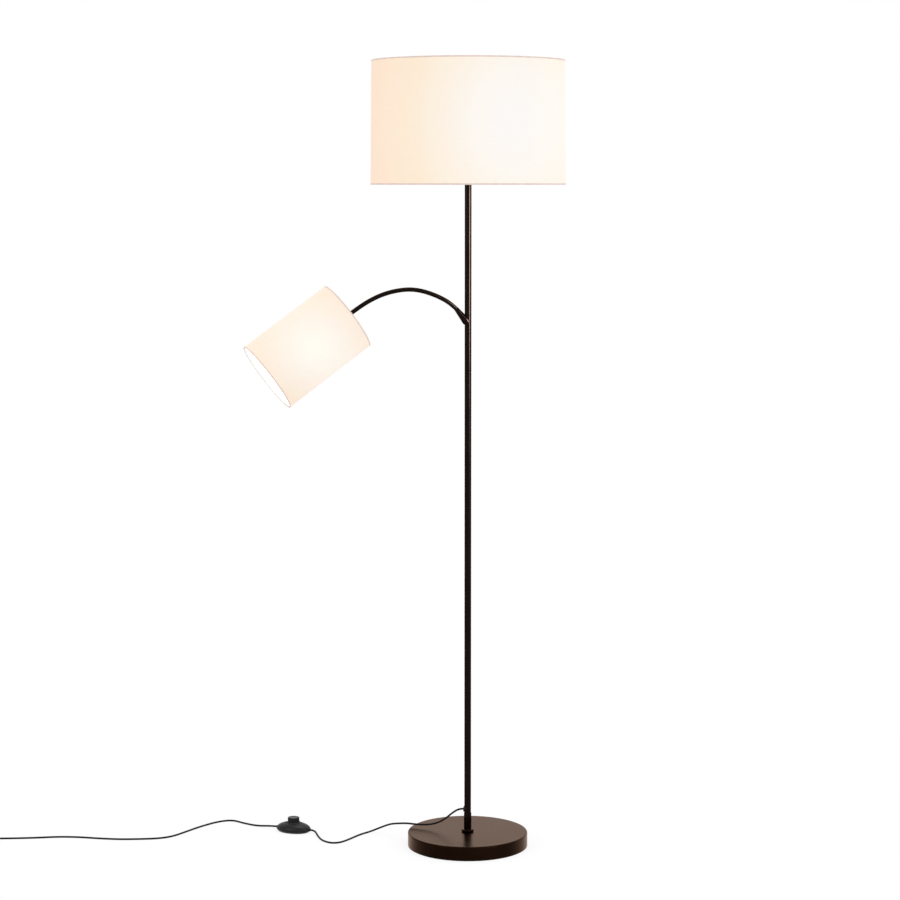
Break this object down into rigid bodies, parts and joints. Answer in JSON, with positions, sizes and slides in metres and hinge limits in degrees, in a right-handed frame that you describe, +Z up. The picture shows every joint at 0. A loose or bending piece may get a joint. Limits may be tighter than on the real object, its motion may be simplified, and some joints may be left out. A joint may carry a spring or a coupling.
{
  "type": "floor lamp with reading arm",
  "caption": "Floor lamp with a drum shade on a round weighted base, a reading shade on a flexible side arm, and a corded foot switch.",
  "frame": {"origin": "centre of the base's underside, on the pole's axis", "axes": "+Z up along the pole; the reading arm leaves towards -X, turned 15.5 degrees towards -Y"},
  "size_m": [1.355, 0.4, 1.6384],
  "materials": {
    "base_paint": "powder coat, satin",
    "pole_paint": "satin lacquer",
    "cast_weight": "as cast",
    "felt": "felt",
    "zinc": "zinc plated",
    "brass": "turned",
    "grommet_rubber": "matte",
    "cord_sheath": "satin",
    "shade_cloth": "woven",
    "frame_enamel": "white enamel",
    "holder_plastic": "matte",
    "bulb_plastic": "matte",
    "bulb_globe": "opal",
    "bulb_cap_metal": "nickel",
    "switch_plastic": "satin",
    "button_plastic": "satin",
    "spring_steel": "bright",
    "plug_plastic": "matte",
    "pin_metal": "nickel plated"
  },
  "bodies": {
    "stand": {"arm_branch": "pole_paint", "arm_link_01": "pole_paint", "base_collar": "base_paint", "base_cover": "base_paint", "base_nut": "zinc", "base_pad": "felt", "base_stud": "zinc", "base_washer": "zinc", "base_weight": "cast_weight", "cord_coil": "cord_sheath", "cord_from_switch": "cord_sheath", "cord_to_switch": "cord_sheath", "inner_lead": "cord_sheath", "main_bulb_cap": "bulb_cap_metal", "main_bulb_cone": "bulb_plastic", "main_bulb_globe": "bulb_globe", "main_holder_body": "holder_plastic", "main_holder_cap": "holder_plastic", "main_shade": "shade_cloth", "main_shade_frame": "frame_enamel", "main_shade_hoop": "frame_enamel", "main_shade_nut": "holder_plastic", "plug_body": "plug_plastic", "plug_pin_sleeves": "plug_plastic", "plug_pins": "pin_metal", "pole_couplers": "brass", "pole_foot_insert": "brass", "pole_foot_sleeve": "pole_paint", "pole_grommet": "grommet_rubber", "pole_lower": "pole_paint", "pole_middle": "pole_paint", "pole_top_insert": "brass", "pole_upper": "pole_paint", "switch_bushings": "grommet_rubber", "switch_contacts": "switch_plastic", "switch_lower_housing": "switch_plastic", "switch_screws": "zinc", "switch_spring": "spring_steel", "switch_upper_housing": "switch_plastic"},
    "reading_head": {"reading_bulb_cap": "bulb_cap_metal", "reading_bulb_cone": "bulb_plastic", "reading_bulb_globe": "bulb_globe", "reading_holder_body": "holder_plastic", "reading_holder_cap": "holder_plastic", "reading_shade": "shade_cloth", "reading_shade_frame": "frame_enamel", "reading_shade_hoop": "frame_enamel", "reading_shade_nut": "holder_plastic", "arm_link_12": "pole_paint"},
    "foot_button": {"switch_button": "button_plastic"},
    "arm_02": {"arm_link_02": "pole_paint"},
    "arm_03": {"arm_link_03": "pole_paint"},
    "arm_04": {"arm_link_04": "pole_paint"},
    "arm_05": {"arm_link_05": "pole_paint"},
    "arm_06": {"arm_link_06": "pole_paint"},
    "arm_07": {"arm_link_07": "pole_paint"},
    "arm_08": {"arm_link_08": "pole_paint"},
    "arm_09": {"arm_link_09": "pole_paint"},
    "arm_10": {"arm_link_10": "pole_paint"},
    "arm_11": {"arm_link_11": "pole_paint"}
  },
  "joints": [
    {"name": "arm_bend_1", "type": "hinge", "parent": "stand", "child": "arm_02", "pos_m": [-0.04093, -0.01135, 1.14722], "axis": [0.2672, -0.9636, 0], "range_deg": [-8, 9]},
    {"name": "arm_sway_1", "type": "hinge", "parent": "arm_02", "child": "arm_03", "pos_m": [-0.05922, -0.01642, 1.15731], "axis": [0.4072, 0.1129, 0.9063], "range_deg": [-9, 9]},
    {"name": "arm_bend_2", "type": "hinge", "parent": "arm_03", "child": "arm_04", "pos_m": [-0.07843, -0.02175, 1.16537], "axis": [0.2672, -0.9636, 0], "range_deg": [-8, 9]},
    {"name": "arm_sway_2", "type": "hinge", "parent": "arm_04", "child": "arm_05", "pos_m": [-0.09834, -0.02727, 1.17129], "axis": [0.1921, 0.0533, 0.9799], "range_deg": [-9, 9]},
    {"name": "arm_bend_3", "type": "hinge", "parent": "arm_05", "child": "arm_06", "pos_m": [-0.11891, -0.03298, 1.17391], "axis": [0.2672, -0.9636, 0], "range_deg": [-8, 9]},
    {"name": "arm_sway_3", "type": "hinge", "parent": "arm_06", "child": "arm_07", "pos_m": [-0.13957, -0.03871, 1.17241], "axis": [-0.1216, -0.0337, 0.992], "range_deg": [-9, 9]},
    {"name": "arm_bend_4", "type": "hinge", "parent": "arm_07", "child": "arm_08", "pos_m": [-0.15995, -0.04436, 1.1685], "axis": [0.2672, -0.9636, 0], "range_deg": [-8, 9]},
    {"name": "arm_sway_4", "type": "hinge", "parent": "arm_08", "child": "arm_09", "pos_m": [-0.17971, -0.04984, 1.16203], "axis": [-0.3453, -0.0958, 0.9336], "range_deg": [-9, 9]},
    {"name": "arm_bend_5", "type": "hinge", "parent": "arm_09", "child": "arm_10", "pos_m": [-0.19856, -0.05507, 1.15311], "axis": [0.2672, -0.9636, 0], "range_deg": [-8, 9]},
    {"name": "arm_sway_5", "type": "hinge", "parent": "arm_10", "child": "arm_11", "pos_m": [-0.2165, -0.06004, 1.14237], "axis": [-0.5106, -0.1416, 0.848], "range_deg": [-9, 9]},
    {"name": "arm_bend_6", "type": "hinge", "parent": "arm_11", "child": "reading_head", "pos_m": [-0.23368, -0.0648, 1.13034], "axis": [0.2672, -0.9636, 0], "range_deg": [-8, 9]},
    {"name": "foot_button", "type": "slide", "parent": "stand", "child": "foot_button", "axis": [0, 0, -1], "range_m": [0, 0.0035], "stiffness_N_per_m": 1200, "springref_m": -0.002, "deforming": ["switch_spring"]}
  ],
  "couplings": [
    {"joint": "arm_bend_2", "follows": "arm_bend_1", "ratio": 1},
    {"joint": "arm_sway_2", "follows": "arm_sway_1", "ratio": 1},
    {"joint": "arm_bend_3", "follows": "arm_bend_1", "ratio": 1},
    {"joint": "arm_sway_3", "follows": "arm_sway_1", "ratio": 1},
    {"joint": "arm_bend_4", "follows": "arm_bend_1", "ratio": 1},
    {"joint": "arm_sway_4", "follows": "arm_sway_1", "ratio": 1},
    {"joint": "arm_bend_5", "follows": "arm_bend_1", "ratio": 1},
    {"joint": "arm_sway_5", "follows": "arm_sway_1", "ratio": 1},
    {"joint": "arm_bend_6", "follows": "arm_bend_1", "ratio": 1}
  ]
}
